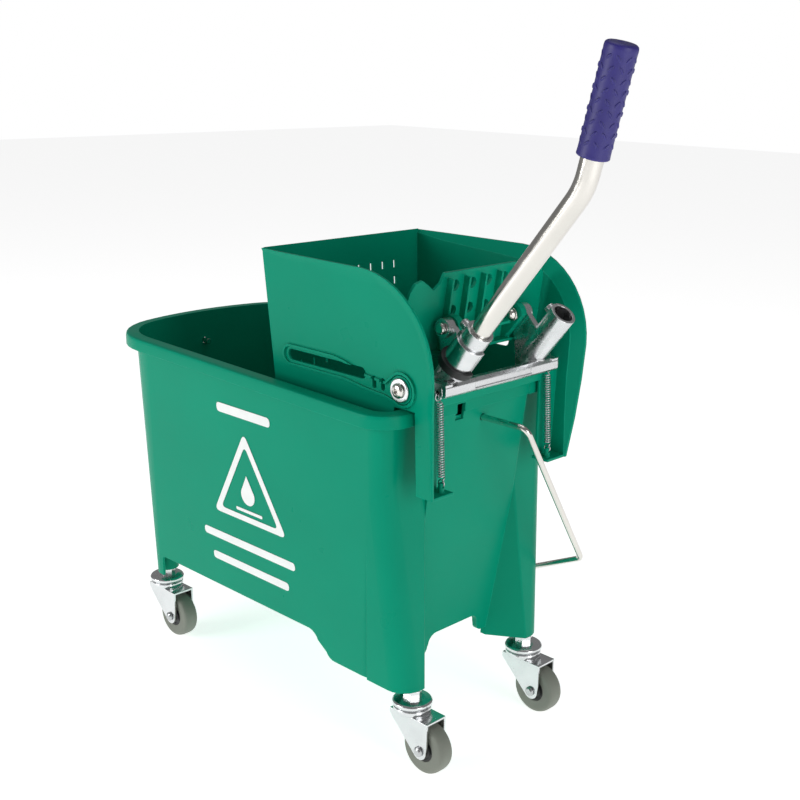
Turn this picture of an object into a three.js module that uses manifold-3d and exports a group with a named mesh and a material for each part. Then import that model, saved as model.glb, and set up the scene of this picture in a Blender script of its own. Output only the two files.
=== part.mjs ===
// Mop bucket on four swivel casters, with a lift-off lever wringer and a swinging carry bail.
// Millimetres, +Z up. +X is the wringer end, Y runs across the bucket, and the casters stand on z = 0.
import * as THREE from "three";
import { mergeVertices } from "three/addons/utils/BufferGeometryUtils.js";
import Module from "manifold-3d";

const wasm = await Module();
wasm.setup();

// ---- Driving dimensions ----
const FIT_GAP = 0.3; // between pieces that touch
const RUN_GAP = 0.5; // between pieces that move past each other
const WALL = 3; // moulded wall of the bucket
const HOPPER_WALL = 2.5; // moulded wall of the wringer

const RIM_LENGTH = 452;
const RIM_WIDTH = 272;
const BUCKET_HEIGHT = 277; // leg bottoms to rim, at the front
const RIM_RISE = 10.5; // the rim is this much higher at the back
const RIM_OVERHANG = 11;
const RIM_DEPTH = 13;
const FRONT_TAPER = 27; // how far each wall leans in over the bucket's height
const SIDE_TAPER = 23;
const REAR_TAPER = 17;
const CORNER_RADIUS = 20;
const REAR_CORNER_SPREAD = 44; // the rear corners are this much rounder at the rim
const REAR_BOW_RADIUS = 320;
const FLOOR_HEIGHT = 36; // bucket floor above the leg bottoms
const SKIRT_HEIGHT = 25; // arches between the legs

const WHEEL_DIAMETER = 50;
const WHEEL_WIDTH = 18;
const HUB_DIAMETER = 24;
const AXLE_DIAMETER = 6;
const CASTER_TRAIL = 22; // wheel axle behind the swivel axis
const CASTER_SPREAD = 166.6; // across, between swivel axes
const FRONT_CASTER_INSET = 8; // swivel axis behind the rim's front edge
const REAR_CASTER_INSET = 43.5;
const PLATE_THICKNESS = 2; // caster fork sheet
const STEM_DIAMETER = 10;

const HOPPER_LENGTH = 228; // back wall to the front edge of the side panels
const HOPPER_RISE = 123; // side panels above the rim
const HOPPER_WIDTH = 202; // across the side panels at the pivot
const PANEL_DRAFT = 0.05; // the panels lean out by this slope
const PANEL_DROP = 78; // front strips below the rim

const PIVOT_X = -11; // lever pivot from the rim's front edge
const PIVOT_RISE = 19; // and above the rim
const PIVOT_BOLT_DIAMETER = 10;
const TUBE_DIAMETER = 19;
const SOCKET_WALL = 2.9;
const SOCKET_SPREAD = 116.8; // across, between the two handle sockets
const SOCKET_LENGTH = 62;
const SOCKET_ANGLE = 52; // degrees above the horizontal
const TUBE_BEND = 24; // degrees
const TUBE_LOWER = 226; // socket base to the bend's corner
const TUBE_UPPER = 110; // the bend's corner to the tube's top
const GRIP_DIAMETER = 28;
const GRIP_LENGTH = 88;
const PRESS_WIDTH = 188;
const PRESS_BOLT_DIAMETER = 6;
const SPRING_DIAMETER = 7.5;

const BAIL_WIRE = 6;
const BAIL_DROP = 24; // pivot below the rim
const BAIL_FRONT_REACH = 49; // front arm ahead of the rim
const BAIL_REAR_REACH = 11;
const BAIL_SHOULDER = 182; // arm length
const BAIL_REACH = 231; // pivot axis to the straight hand bar
const BAIL_HANG = 58; // degrees below the horizontal, at rest
const BAIL_TAIL = 18; // end of the wire behind the rim's front edge

// ---- Heights and places that follow from them ----
const wheelRadius = WHEEL_DIAMETER / 2;
const crownBottom = WHEEL_DIAMETER + 4;
const crownTop = crownBottom + PLATE_THICKNESS;
const dishTop = crownTop + 6;
const raceTop = dishTop + RUN_GAP + 6.5;
const legBottom = raceTop + 9;
const rimZ = legBottom + BUCKET_HEIGHT;
const floorTop = legBottom + FLOOR_HEIGHT;
const floorUnder = floorTop - WALL;
const skirtZ = legBottom + SKIRT_HEIGHT;
const stemTop = legBottom + 18;

const rimFront = FRONT_CASTER_INSET;
const rimRear = rimFront - RIM_LENGTH;
const rimHalf = RIM_WIDTH / 2;
const casterRearX = rimRear + REAR_CASTER_INSET;
const casterY = CASTER_SPREAD / 2;

const pivotX = rimFront + PIVOT_X;
const pivotZ = rimZ + PIVOT_RISE;
const panelOuter = HOPPER_WIDTH / 2; // at the pivot's height
const panelInner = panelOuter - HOPPER_WALL;
const panelFront = rimFront + 32;
const panelTop = rimZ + HOPPER_RISE;
const panelBack = panelFront - HOPPER_LENGTH;
const panelTip = rimZ - PANEL_DROP;

const tubeRadius = TUBE_DIAMETER / 2;
const socketInner = tubeRadius + FIT_GAP;
const socketOuter = socketInner + SOCKET_WALL;
const socketY = SOCKET_SPREAD / 2;
const socketTilt = THREE.MathUtils.degToRad(SOCKET_ANGLE);
const socketBase = { x: pivotX + 13, z: pivotZ + 6 };
const gripTilt = socketTilt + THREE.MathUtils.degToRad(TUBE_BEND);

// ---- Colours ----
const GREEN = { color: 0x00966f, roughness: 0.35, metalness: 0 };
const ZINC = { color: 0xc9cbcc, roughness: 0.3, metalness: 1 };
const STEEL = { color: 0xd6d2cb, roughness: 0.2, metalness: 1 };
const DARK_STEEL = { color: 0x8d9093, roughness: 0.4, metalness: 1 };
const BLUE_GRIP = { color: 0x322a86, roughness: 0.45, metalness: 0 };
const BLACK = { color: 0x17181a, roughness: 0.6, metalness: 0 };
const GREY_RUBBER = { color: 0x9a9b90, roughness: 0.7, metalness: 0 };

// ---- Solids ----
function solid(geometry) {
  const plain = geometry.index ? geometry.toNonIndexed() : geometry.clone();
  plain.deleteAttribute("normal");
  plain.deleteAttribute("uv");
  const merged = mergeVertices(plain, 1e-4);
  const mesh = new wasm.Mesh({
    numProp: 3,
    vertProperties: merged.attributes.position.array,
    triVerts: new Uint32Array(merged.index.array),
  });
  return new wasm.Manifold(mesh);
}

// Drops the slivers that a cut leaves, so that each face is wider than this.
const SLIVER = 0.01;
function geometryOf(shape) {
  const mesh = shape.simplify(SLIVER).getMesh();
  const geometry = new THREE.BufferGeometry();
  geometry.setAttribute("position", new THREE.BufferAttribute(mesh.vertProperties, 3));
  geometry.setIndex(new THREE.BufferAttribute(mesh.triVerts, 1));
  return geometry;
}

function join(shapes) {
  return shapes.reduce((all, shape) => all.add(shape));
}

function cut(shape, tools) {
  return tools.reduce((left, tool) => left.subtract(tool), shape);
}

function block(x0, x1, y0, y1, z0, z1) {
  const geometry = new THREE.BoxGeometry(x1 - x0, y1 - y0, z1 - z0);
  return solid(geometry.translate((x0 + x1) / 2, (y0 + y1) / 2, (z0 + z1) / 2));
}

// A round bar between two points.
function bar(from, to, radius, endRadius = radius, segments = 16) {
  const start = new THREE.Vector3(...from);
  const along = new THREE.Vector3(...to).sub(start);
  const geometry = new THREE.CylinderGeometry(endRadius, radius, along.length(), segments);
  geometry.translate(0, along.length() / 2, 0);
  const turn = new THREE.Quaternion();
  turn.setFromUnitVectors(new THREE.Vector3(0, 1, 0), along.clone().normalize());
  geometry.applyQuaternion(turn);
  return solid(geometry.translate(start.x, start.y, start.z));
}

// A turned shape: the profile's points are [radius, distance along the axis].
function turned(profile, at, axis, segments = 24) {
  const points = profile.map(([r, h]) => new THREE.Vector2(r, h));
  points.push(points[0].clone());
  const geometry = new THREE.LatheGeometry(points, segments);
  const turn = new THREE.Quaternion();
  turn.setFromUnitVectors(new THREE.Vector3(0, 1, 0), new THREE.Vector3(...axis).normalize());
  geometry.applyQuaternion(turn);
  return solid(geometry.translate(...at));
}

// A side profile, [x, z] points, made into a slab from y0 to y1.
function slab(profile, y0, y1, holes = []) {
  const shape = new THREE.Shape(profile.map(([x, z]) => new THREE.Vector2(x, z)));
  for (const hole of holes) {
    shape.holes.push(new THREE.Path(hole.map(([x, z]) => new THREE.Vector2(x, z))));
  }
  const geometry = new THREE.ExtrudeGeometry(shape, { depth: y1 - y0, bevelEnabled: false });
  geometry.rotateX(Math.PI / 2);
  return solid(geometry.translate(0, y1, 0));
}

// A front profile, [y, z] points, made into a slab from x0 to x1.
function crossSlab(profile, x0, x1) {
  const shape = new THREE.Shape(profile.map(([y, z]) => new THREE.Vector2(y, z)));
  const geometry = new THREE.ExtrudeGeometry(shape, { depth: x1 - x0, bevelEnabled: false });
  const basis = new THREE.Matrix4().makeBasis(
    new THREE.Vector3(0, 1, 0),
    new THREE.Vector3(0, 0, 1),
    new THREE.Vector3(1, 0, 0),
  );
  return solid(geometry.applyMatrix4(basis).translate(x0, 0, 0));
}

// Skins a row of rings that all have the same number of points. A closed row needs no ends.
function skin(rings, closed = false) {
  const count = rings[0].length;
  const positions = rings.flat().flatMap((p) => [p.x, p.y, p.z]);
  const index = [];
  const last = closed ? rings.length : rings.length - 1;
  for (let i = 0; i < last; i += 1) {
    const a = i * count;
    const b = ((i + 1) % rings.length) * count;
    for (let j = 0; j < count; j += 1) {
      const k = (j + 1) % count;
      index.push(a + j, a + k, b + k, a + j, b + k, b + j);
    }
  }
  if (!closed) {
    const end = (rings.length - 1) * count;
    for (let j = 1; j < count - 1; j += 1) {
      index.push(0, j + 1, j);
      index.push(end, end + j, end + j + 1);
    }
  }
  const geometry = new THREE.BufferGeometry();
  geometry.setAttribute("position", new THREE.Float32BufferAttribute(positions, 3));
  geometry.setIndex(index);
  return solid(geometry);
}

function arc(cx, cy, radius, from, to, steps) {
  const points = [];
  for (let i = 0; i <= steps; i += 1) {
    const a = THREE.MathUtils.degToRad(from + ((to - from) * i) / steps);
    points.push([cx + radius * Math.cos(a), cy + radius * Math.sin(a)]);
  }
  return points;
}

function piece(name, shape, look) {
  const mesh = new THREE.Mesh(geometryOf(shape), new THREE.MeshStandardMaterial(look));
  mesh.name = name;
  return mesh;
}

// ---- Bucket ----
// The bucket seen from above at one height: round front corners and a bowed back.
function plan(front, rear, half, radius, rearRadius) {
  const bowX = rear + REAR_BOW_RADIUS;
  const inner = REAR_BOW_RADIUS - rearRadius;
  const cornerY = half - rearRadius;
  const cornerX = bowX - Math.sqrt(inner ** 2 - cornerY ** 2);
  const meet = THREE.MathUtils.radToDeg(Math.atan2(cornerY, cornerX - bowX));
  return [
    ...arc(front - radius, half - radius, radius, 0, 90, 6),
    ...arc(cornerX, cornerY, rearRadius, 90, meet, 8),
    ...arc(bowX, 0, REAR_BOW_RADIUS, meet, 360 - meet, 12).slice(1, -1),
    ...arc(cornerX, -cornerY, rearRadius, 360 - meet, 270, 8),
    ...arc(front - radius, radius - half, radius, 270, 360, 6),
  ];
}

function rimHeight(x) {
  return rimZ + (RIM_RISE * (rimFront - x)) / RIM_LENGTH;
}

// The bucket's outer wall from above: t is 0 at the leg bottoms and 1 at the rim.
function wallPlan(t) {
  const lean = 1 - t;
  return plan(
    rimFront - RIM_OVERHANG - FRONT_TAPER * lean,
    rimRear + RIM_OVERHANG + REAR_TAPER * lean,
    rimHalf - RIM_OVERHANG - SIDE_TAPER * lean,
    CORNER_RADIUS,
    CORNER_RADIUS + REAR_CORNER_SPREAD * t,
  );
}

// For each point of a closed outline, the step that moves both its edges outwards by 1 mm.
function outwardSteps(outline) {
  return outline.map(([x, y], i) => {
    const before = new THREE.Vector2(...outline[(i + outline.length - 1) % outline.length]);
    const after = new THREE.Vector2(...outline[(i + 1) % outline.length]);
    const here = new THREE.Vector2(x, y);
    const edges = here.clone().sub(before).normalize().add(after.sub(here).normalize());
    const mitre = 2 / edges.lengthSq();
    return [edges.y * mitre, -edges.x * mitre];
  });
}

function level(z) {
  return (z - legBottom) / BUCKET_HEIGHT;
}

// The outer wall moved in by an inset, between two levels: 0 is the leg bottoms and 1 the rim.
function bodyLoft(inset, from, to) {
  const [low, high] = [0, 1].map((t) => {
    const outline = wallPlan(t);
    const steps = outwardSteps(outline);
    return outline.map(([x, y], i) => {
      const z = t === 0 ? legBottom : rimHeight(x);
      return new THREE.Vector3(x - inset * steps[i][0], y - inset * steps[i][1], z);
    });
  });
  return skin([from, to].map((t) => low.map((p, i) => p.clone().lerp(high[i], t))));
}

// The front wall's middle stands forward, flush with the rim, so that the wringer can hook over it.
const HOOK_HALF = 64;
const HOOK_PROUD = 10;
function hookPanel(inset, z0, z1) {
  const rings = [z0, z1].map((z) => {
    const lean = 1 - level(z);
    const wall = rimFront - RIM_OVERHANG - FRONT_TAPER * lean;
    const front = wall + HOOK_PROUD * (1 - 0.75 * lean) - inset;
    const half = HOOK_HALF - inset;
    const back = rimFront - RIM_OVERHANG - FRONT_TAPER - 20;
    const corners = [[back, -half], [front, -half], [front, half], [back, half]];
    return corners.map(([x, y]) => new THREE.Vector3(x, y, z));
  });
  return skin(rings);
}

const RIM_TUCK = 0.6; // the wall and rim run into each other by this much
function rimRing() {
  const outline = wallPlan(1);
  const steps = outwardSteps(outline);
  const o = RIM_OVERHANG;
  const inner = -WALL - RIM_TUCK;
  const section = [
    [inner, 0], [inner, -WALL], [o - WALL, -WALL - 1], [o - WALL, -RIM_DEPTH],
    [o, -RIM_DEPTH], [o, -4], [o - 1, -1.3], [o - 3.5, 0],
  ];
  const rings = outline.map(([x, y], i) =>
    section.map(([out, up]) => {
      return new THREE.Vector3(x + out * steps[i][0], y + out * steps[i][1], rimHeight(x) + up);
    }),
  );
  return skin(rings.reverse(), true);
}

// A front leg: the bucket's corner carried straight down to hold a caster stem, and hollow.
// Its inner side slants back to the end wall, and its top runs out in the corner.
const LEG_RISE = 0.76 * BUCKET_HEIGHT;
const LEG_FOOT_LENGTH = 51;
const LEG_FOOT_INNER = casterY - 9; // foot's front inner corner, from the centre plane
const LEG_SLANT = 32; // and its rear inner corner is this much nearer the centre plane
const LEG_FOOT_OUTER = rimHalf - RIM_OVERHANG - SIDE_TAPER + 2;
const LEG_TOP_INNER = 60;
function legCone(side, inset) {
  const lean = 1 - LEG_RISE / BUCKET_HEIGHT;
  const foot = {
    x0: rimFront + 1 - LEG_FOOT_LENGTH, x1: rimFront + 1, inner: LEG_FOOT_INNER, slant: LEG_SLANT,
    outer: LEG_FOOT_OUTER, r: CORNER_RADIUS + 2, z: inset ? legBottom - 1 : legBottom,
  };
  const topFront = rimFront - RIM_OVERHANG - FRONT_TAPER * lean - 1;
  const top = {
    x0: topFront - 20, x1: topFront, inner: LEG_TOP_INNER, slant: 4,
    outer: rimHalf - RIM_OVERHANG - SIDE_TAPER * lean - 1, r: CORNER_RADIUS - 1, z: legBottom + LEG_RISE,
  };
  const rings = [foot, top].map(({ x0, x1, inner, slant, outer, r, z }) => {
    const [back, front, near, far] = [x0 + inset, x1 - inset, inner + inset * 1.4, outer - inset];
    const round = r - inset;
    const turn = THREE.MathUtils.radToDeg(Math.atan2(slant, x1 - x0));
    const ring = [
      ...arc(front - round, far - round, round, 0, 90, 6), ...arc(back + 1, far - 1, 1, 90, 180, 2),
      ...arc(back + 1, near - slant + 1, 1, 180, 270 + turn, 2),
      ...arc(front - 3, near + 3, 3, 270 + turn, 360, 3),
    ];
    const placed = ring.map(([x, y]) => new THREE.Vector3(x, y * side, z));
    return side < 0 ? placed.reverse() : placed;
  });
  return skin(rings);
}

function casterPlaces() {
  const places = [];
  for (const [end, x] of [["front", 0], ["rear", casterRearX]]) {
    for (const [side, y] of [["left", casterY], ["right", -casterY]]) {
      places.push({ name: `${end}_${side}`, x, y });
    }
  }
  return places;
}

// The arch in each long wall, with the rounded step down to the front leg.
function sideArch() {
  const rear = casterRearX + 22;
  const front = rimFront - 120;
  const low = legBottom - 5;
  const profile = [
    [rear - 2, low], [rear, skirtZ - 6], ...arc(rear + 6, skirtZ - 6, 6, 180, 90, 4),
    ...arc(front - 14, skirtZ - 14, 14, 90, 20, 6), ...arc(front + 22, legBottom + 12, 12, 205, 268, 5),
    [front + 26, low],
  ];
  return slab(profile.reverse(), -rimHalf, rimHalf);
}

// The arch in each end wall, with a small foot each side.
function endArch(x0, x1) {
  const top = skirtZ + 5;
  const half = 36;
  const side = [
    [52, legBottom - 5], [52, legBottom + 9], ...arc(half + 9, legBottom + 17, 8, 270, 180, 5),
    ...arc(half - 10, top - 10, 10, 0, 90, 5),
  ];
  const other = side.map(([y, z]) => [-y, z]).reverse();
  return crossSlab([...side, ...other], x0, x1);
}

// The post that takes a caster's stem, with a rib each way to the walls.
function stemPost({ x, y }) {
  const top = floorUnder + 1;
  const post = bar([x, y, legBottom], [x, y, top], 14);
  const inwardY = y - Math.sign(y) * 30;
  const rib = block(x - 1.2, x + 1.2, Math.min(y, inwardY), Math.max(y, inwardY), skirtZ, top);
  const inwardX = x === casterRearX ? x + 34 : x - 34;
  const brace = block(Math.min(x, inwardX), Math.max(x, inwardX), y - 1.2, y + 1.2, skirtZ, top);
  return join([post, rib, brace]);
}

const bailZ = rimZ - BAIL_DROP;
const wireRadius = BAIL_WIRE / 2;

function bucketBody() {
  const shell = bodyLoft(0, 0, 1 - RIM_TUCK / BUCKET_HEIGHT);
  const legs = [-1, 1].map((side) => legCone(side, 0));
  const outside = join([shell, hookPanel(0, legBottom, rimZ - RIM_TUCK), ...legs, rimRing()]);
  const floor = block(rimRear, rimFront, -rimHalf, rimHalf, floorUnder, floorTop);
  const inside = bodyLoft(WALL, -0.02, 1.02).subtract(floor);
  const legHollows = [-1, 1].map((side) => legCone(side, WALL).subtract(shell));
  const hollow = cut(outside, [inside, hookPanel(WALL, floorTop, rimZ + 20), ...legHollows]);
  const space = join([shell, ...legs]);
  const posts = casterPlaces().map((place) => stemPost(place).intersect(space));
  const bores = casterPlaces().map(({ x, y }) =>
    bar([x, y, legBottom - 1], [x, y, stemTop + 2], STEM_DIAMETER / 2 + FIT_GAP),
  );
  const hookCut = block(rimFront - 0.99, rimFront + 3, -HOOK_HALF, HOOK_HALF, rimZ - 40, rimZ + 3);
  const pocket = block(rimFront - 6, rimFront + 1, -39, -28, bailZ + 4, bailZ + 20);
  const wire = bar([rimRear - 5, 0, bailZ], [rimFront + 5, 0, bailZ], wireRadius + RUN_GAP);
  return cut(join([hollow, ...posts]), [
    ...bores, sideArch(), endArch(-80, -5), endArch(rimRear - 5, rimRear + 60), hookCut, pocket, wire,
  ]);
}

// ---- Casters: the wheel trails towards +X at rest ----
function casterStem({ x, y }) {
  const r = STEM_DIAMETER / 2;
  const profile = [
    [0, crownBottom - 2.3], [8, crownBottom - 2.3], [8, crownBottom - FIT_GAP], [r, crownBottom - FIT_GAP],
    [r, dishTop + RUN_GAP], [18, dishTop + RUN_GAP], [19.5, dishTop + 2], [19.5, raceTop - 2.5],
    [18, raceTop - 1], [12, raceTop], [r, raceTop], [r, stemTop - 1], [0, stemTop],
  ];
  const nut = bar([x, y, raceTop - 0.1], [x, y, legBottom - FIT_GAP], 9, undefined, 6);
  return turned(profile, [x, y, 0], [0, 0, 1], 16).add(nut);
}

const FORK_GAP = 2; // wheel face to fork sheet
const forkInner = WHEEL_WIDTH / 2 + FORK_GAP;
const forkOuter = forkInner + PLATE_THICKNESS;
function casterFork({ x, y }) {
  const trail = CASTER_TRAIL;
  const cheek = [
    [-17, crownTop], [-17, crownBottom - 3], ...arc(trail, wheelRadius, 8.5, 215, 345, 8),
    [trail + 9.5, wheelRadius + 8], [trail + 9.5, crownTop],
  ].map(([px, pz]) => [px + x, pz]);
  const cheeks = [
    slab(cheek, y - forkOuter, y - forkInner),
    slab(cheek, y + forkInner, y + forkOuter),
  ];
  const top = block(x - 17, x + trail + 9.5, y - forkOuter, y + forkOuter, crownBottom, crownTop);
  const dish = turned(
    [[0, 0], [17.5, 0], [18.5, 1.5], [18.5, 4], [17, 6], [0, 6]],
    [x, y, crownTop - 0.01], [0, 0, 1], 16,
  ).intersect(block(x - 30, x + 30, y - 30, y + 30, crownTop - 1, dishTop));
  const stemHole = bar([x, y, 0], [x, y, legBottom], STEM_DIAMETER / 2 + FIT_GAP);
  const axleX = x + trail;
  const reach = forkOuter + 5;
  const axleBore = AXLE_DIAMETER / 2 + FIT_GAP;
  const axleHole = bar([axleX, y - reach, wheelRadius], [axleX, y + reach, wheelRadius], axleBore);
  return cut(join([...cheeks, top, dish]), [stemHole, axleHole]);
}

function alongY({ x, y }, profile, segments) {
  return turned(profile, [x + CASTER_TRAIL, y, wheelRadius], [0, 1, 0], segments);
}

function casterAxle(place) {
  const r = AXLE_DIAMETER / 2;
  const face = forkOuter + FIT_GAP;
  return alongY(place, [
    [0, -face - 3], [3, -face - 3], [5, -face - 1.5], [5, -face], [r, -face], [r, face + 4.5], [0, face + 4.5],
  ], 10);
}

// A plain hexagon nut's profile: its bore clears the bolt across the flats.
function nutProfile(boltDiameter, outer, from, to) {
  const bore = (boltDiameter / 2 + FIT_GAP) / Math.cos(Math.PI / 6);
  return [[bore, from], [outer, from], [outer, to], [bore, to]];
}

function casterNut(place) {
  const face = forkOuter + FIT_GAP;
  return alongY(place, nutProfile(AXLE_DIAMETER, 5.6, face, face + 4), 6);
}

function casterHub(place) {
  const bore = AXLE_DIAMETER / 2 + FIT_GAP;
  const r = HUB_DIAMETER / 2;
  const w = WHEEL_WIDTH / 2 - 1;
  const boss = forkInner - RUN_GAP;
  return alongY(place, [
    [bore, -boss], [5.5, -boss], [6.5, -w + 1], [r, -w], [r, w], [6.5, w - 1], [5.5, boss], [bore, boss],
  ], 16);
}

const TYRE_SIDES = 28;
function casterTyre(place) {
  const inner = HUB_DIAMETER / 2 + FIT_GAP;
  const w = WHEEL_WIDTH / 2;
  const r = wheelRadius;
  return alongY(place, [
    [inner, -w + 1], [r - 4, -w], [r - 1.2, -w + 1.6], [r, -w + 4.5],
    [r, w - 4.5], [r - 1.2, w - 1.6], [r - 4, w], [inner, w - 1],
  ], TYRE_SIDES);
}

// ---- Bail: a round wire bent to one route, its ends turned into the bucket's end walls ----
function bailRoute() {
  const hang = THREE.MathUtils.degToRad(BAIL_HANG);
  const at = (x, reach) => new THREE.Vector3(x, reach * Math.cos(hang), bailZ - reach * Math.sin(hang));
  const front = rimFront + BAIL_FRONT_REACH;
  const rear = rimRear - BAIL_REAR_REACH;
  const slope = (BAIL_REACH - BAIL_SHOULDER) / 0.62;
  return [
    at(rimFront - BAIL_TAIL, 0), at(front, 0), at(front, BAIL_SHOULDER), at(front - slope, BAIL_REACH),
    at(rear + slope, BAIL_REACH), at(rear, BAIL_SHOULDER), at(rear, 0), at(rimRear + BAIL_TAIL + 6, 0),
  ];
}

// Rounds each corner of a route with an arc of the given radius.
function roundedRoute(corners, radius, steps) {
  const points = [corners[0]];
  for (let i = 1; i < corners.length - 1; i += 1) {
    const back = corners[i - 1].clone().sub(corners[i]).normalize();
    const on = corners[i + 1].clone().sub(corners[i]).normalize();
    const turn = Math.PI - back.angleTo(on);
    const run = radius * Math.tan(turn / 2);
    const start = corners[i].clone().addScaledVector(back, run);
    const middle = back.clone().add(on).normalize();
    const centre = corners[i].clone().addScaledVector(middle, radius / Math.cos(turn / 2));
    for (let k = 0; k <= steps; k += 1) {
      const a = (turn * k) / steps;
      const from = start.clone().sub(centre);
      const swung = from.multiplyScalar(Math.cos(a)).addScaledVector(back, -radius * Math.sin(a));
      points.push(centre.clone().add(swung));
    }
  }
  points.push(corners.at(-1));
  return points;
}

// A round tube or wire along points, with flat ends.
function piped(points, radius, segments) {
  let across = new THREE.Vector3(0, 1, 0);
  const rings = points.map((point, i) => {
    const before = points[Math.max(i - 1, 0)];
    const after = points[Math.min(i + 1, points.length - 1)];
    const along = after.clone().sub(before).normalize();
    across = across.clone().addScaledVector(along, -across.dot(along)).normalize();
    const up = along.clone().cross(across);
    return Array.from({ length: segments }, (_, k) => {
      const a = (2 * Math.PI * k) / segments;
      const ring = point.clone().addScaledVector(across, radius * Math.cos(a));
      return ring.addScaledVector(up, radius * Math.sin(a));
    });
  });
  return skin(rings);
}

// ---- Wringer hopper ----
// The free edge of a side panel, from the back along the top and down the front strip.
function panelEdge() {
  const radius = 88;
  const bend = arc(panelFront - radius, panelTop - radius, radius, 90, 0, 12);
  const points = [
    [panelBack, panelTop, 3], [panelBack + 40, panelTop, 8], ...bend.map(([x, z]) => [x, z, 14]),
    [panelFront - 1.5, rimZ, 13], [panelFront - 4, rimZ - 38, 9], [panelFront - 8, panelTip, 2],
  ];
  return points.map(([x, z, width], i) => {
    const [px, pz] = points[Math.max(i - 1, 0)];
    const [qx, qz] = points[Math.min(i + 1, points.length - 1)];
    const along = new THREE.Vector2(qx - px, qz - pz).normalize();
    return { x, z, nx: along.y, nz: -along.x, width };
  });
}

const LIP_FLARE = 0.5; // how far the lip flares out, as a share of its width
function panelLip() {
  const rings = panelEdge().map(({ x, z, nx, nz, width }) => {
    const flare = width * LIP_FLARE;
    const inX = x + nx * width;
    const inZ = z + nz * width;
    return [
      new THREE.Vector3(inX, panelInner, inZ), new THREE.Vector3(x, panelInner + flare, z),
      new THREE.Vector3(x, panelOuter + flare, z), new THREE.Vector3(inX, panelOuter, inZ),
    ];
  });
  return skin(rings.reverse());
}

const basketBack = panelBack + 16;
const basketFront = rimFront - RIM_OVERHANG - WALL - 16;
const basketFloor = rimZ - 86;
const shelfZ = rimZ + FIT_GAP + 0.6;
// The basket from the side: steep back, round trough, steep front.
function basketProfile(inset) {
  return [
    [panelBack + inset, panelTop], [basketBack - 5 + inset, rimZ - 20],
    ...arc(basketBack + 45, rimZ - 38, 45 - inset, 195, 255, 6),
    [basketFront - 40, basketFloor + inset], [basketFront - 8, basketFloor + 2 + inset],
    ...arc(basketFront - 8, basketFloor + 10, 8 - inset, 285, 350, 4).slice(1),
    [basketFront + 7 - inset, rimZ - 10], [basketFront + 8 - inset, shelfZ + HOPPER_WALL],
  ];
}

function panelSheet() {
  const edge = panelEdge().map(({ x, z, nx, nz, width }) => {
    const inset = Math.max(width - 0.8, 0.2);
    return [x + nx * inset, z + nz * inset];
  });
  const apron = rimFront + 3.5;
  const profile = [
    ...edge, [apron, panelTip + 1], [apron, shelfZ], [basketFront + 8, shelfZ],
    ...basketProfile(0).reverse().slice(1).map(([x, z]) => [x, Math.min(z, panelTop - 6)]),
  ];
  return slab(profile.reverse(), panelInner, panelOuter);
}

// The arm-shaped bead round the long slot, ending in the pivot boss.
const SLOT_Z = -0.5; // slot middle from the pivot's height
function armOutline(grow) {
  const slotBack = pivotX - 158 - grow;
  const z = pivotZ + SLOT_Z + 6;
  const r = 8 + grow;
  return [
    ...arc(slotBack + r, z, r, 270, 90, 8), [pivotX - 88, z + r], [pivotX - 74, z + r - 2],
    [pivotX - 44, z + r - 10], [pivotX - 20, z + r - 12],
    ...arc(pivotX, pivotZ, 14 + grow, 125, -125, 12),
    [pivotX - 20, z - r - 6], [pivotX - 44, z - r - 4], [pivotX - 74, z - r],
  ];
}

function throughSlot(x0, x1, z0, z1) {
  const r = Math.min(x1 - x0, z1 - z0) / 2 - 0.01;
  const profile = [
    ...arc(x0 + r, z0 + r, r, 180, 270, 3), ...arc(x1 - r, z0 + r, r, 270, 360, 3),
    ...arc(x1 - r, z1 - r, r, 0, 90, 3), ...arc(x0 + r, z1 - r, r, 90, 180, 3),
  ];
  return slab(profile, panelInner - 5, panelOuter + 8);
}

const BEAD_PROUD = 2.2;
function sidePanel(side) {
  const bead = slab(armOutline(2.5).reverse(), panelOuter - 1, panelOuter + BEAD_PROUD);
  const dip = slab(armOutline(0).reverse(), panelOuter, panelOuter + 5);
  const boss = bar([pivotX, panelOuter - 1, pivotZ], [pivotX, panelOuter + BEAD_PROUD, pivotZ], 13);
  const slotZ = pivotZ + SLOT_Z + 6;
  const slots = [
    throughSlot(pivotX - 154, pivotX - 46, slotZ - 5.5, slotZ + 5.5),
    throughSlot(pivotX - 38, pivotX - 33, pivotZ - 6, pivotZ + 6),
    throughSlot(pivotX - 27, pivotX - 22, pivotZ - 6, pivotZ + 6),
  ];
  const hole = bar([pivotX, 0, pivotZ], [pivotX, 200, pivotZ], PIVOT_BOLT_DIAMETER / 2 + FIT_GAP);
  const flat = join([panelSheet(), panelLip(), bead.subtract(dip), boss]);
  const lean = new THREE.Matrix4().makeShear(0, 0, 0, 0, 0, PANEL_DRAFT);
  const place = new THREE.Matrix4().makeTranslation(0, -PANEL_DRAFT * pivotZ, 0);
  const mirror = new THREE.Matrix4().makeScale(1, side, 1);
  return cut(flat, [...slots, hole]).transform(mirror.multiply(place).multiply(lean).elements);
}

// Everything between the two panels' outer faces.
function hopperSpace() {
  const half = (z) => panelOuter - 0.5 + PANEL_DRAFT * (z - pivotZ);
  const low = panelTip - 40;
  const high = panelTop + 20;
  const profile = [[-half(low), low], [half(low), low], [half(high), high], [-half(high), high]];
  return crossSlab(profile, panelBack - 20, panelFront + 40);
}

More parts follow.
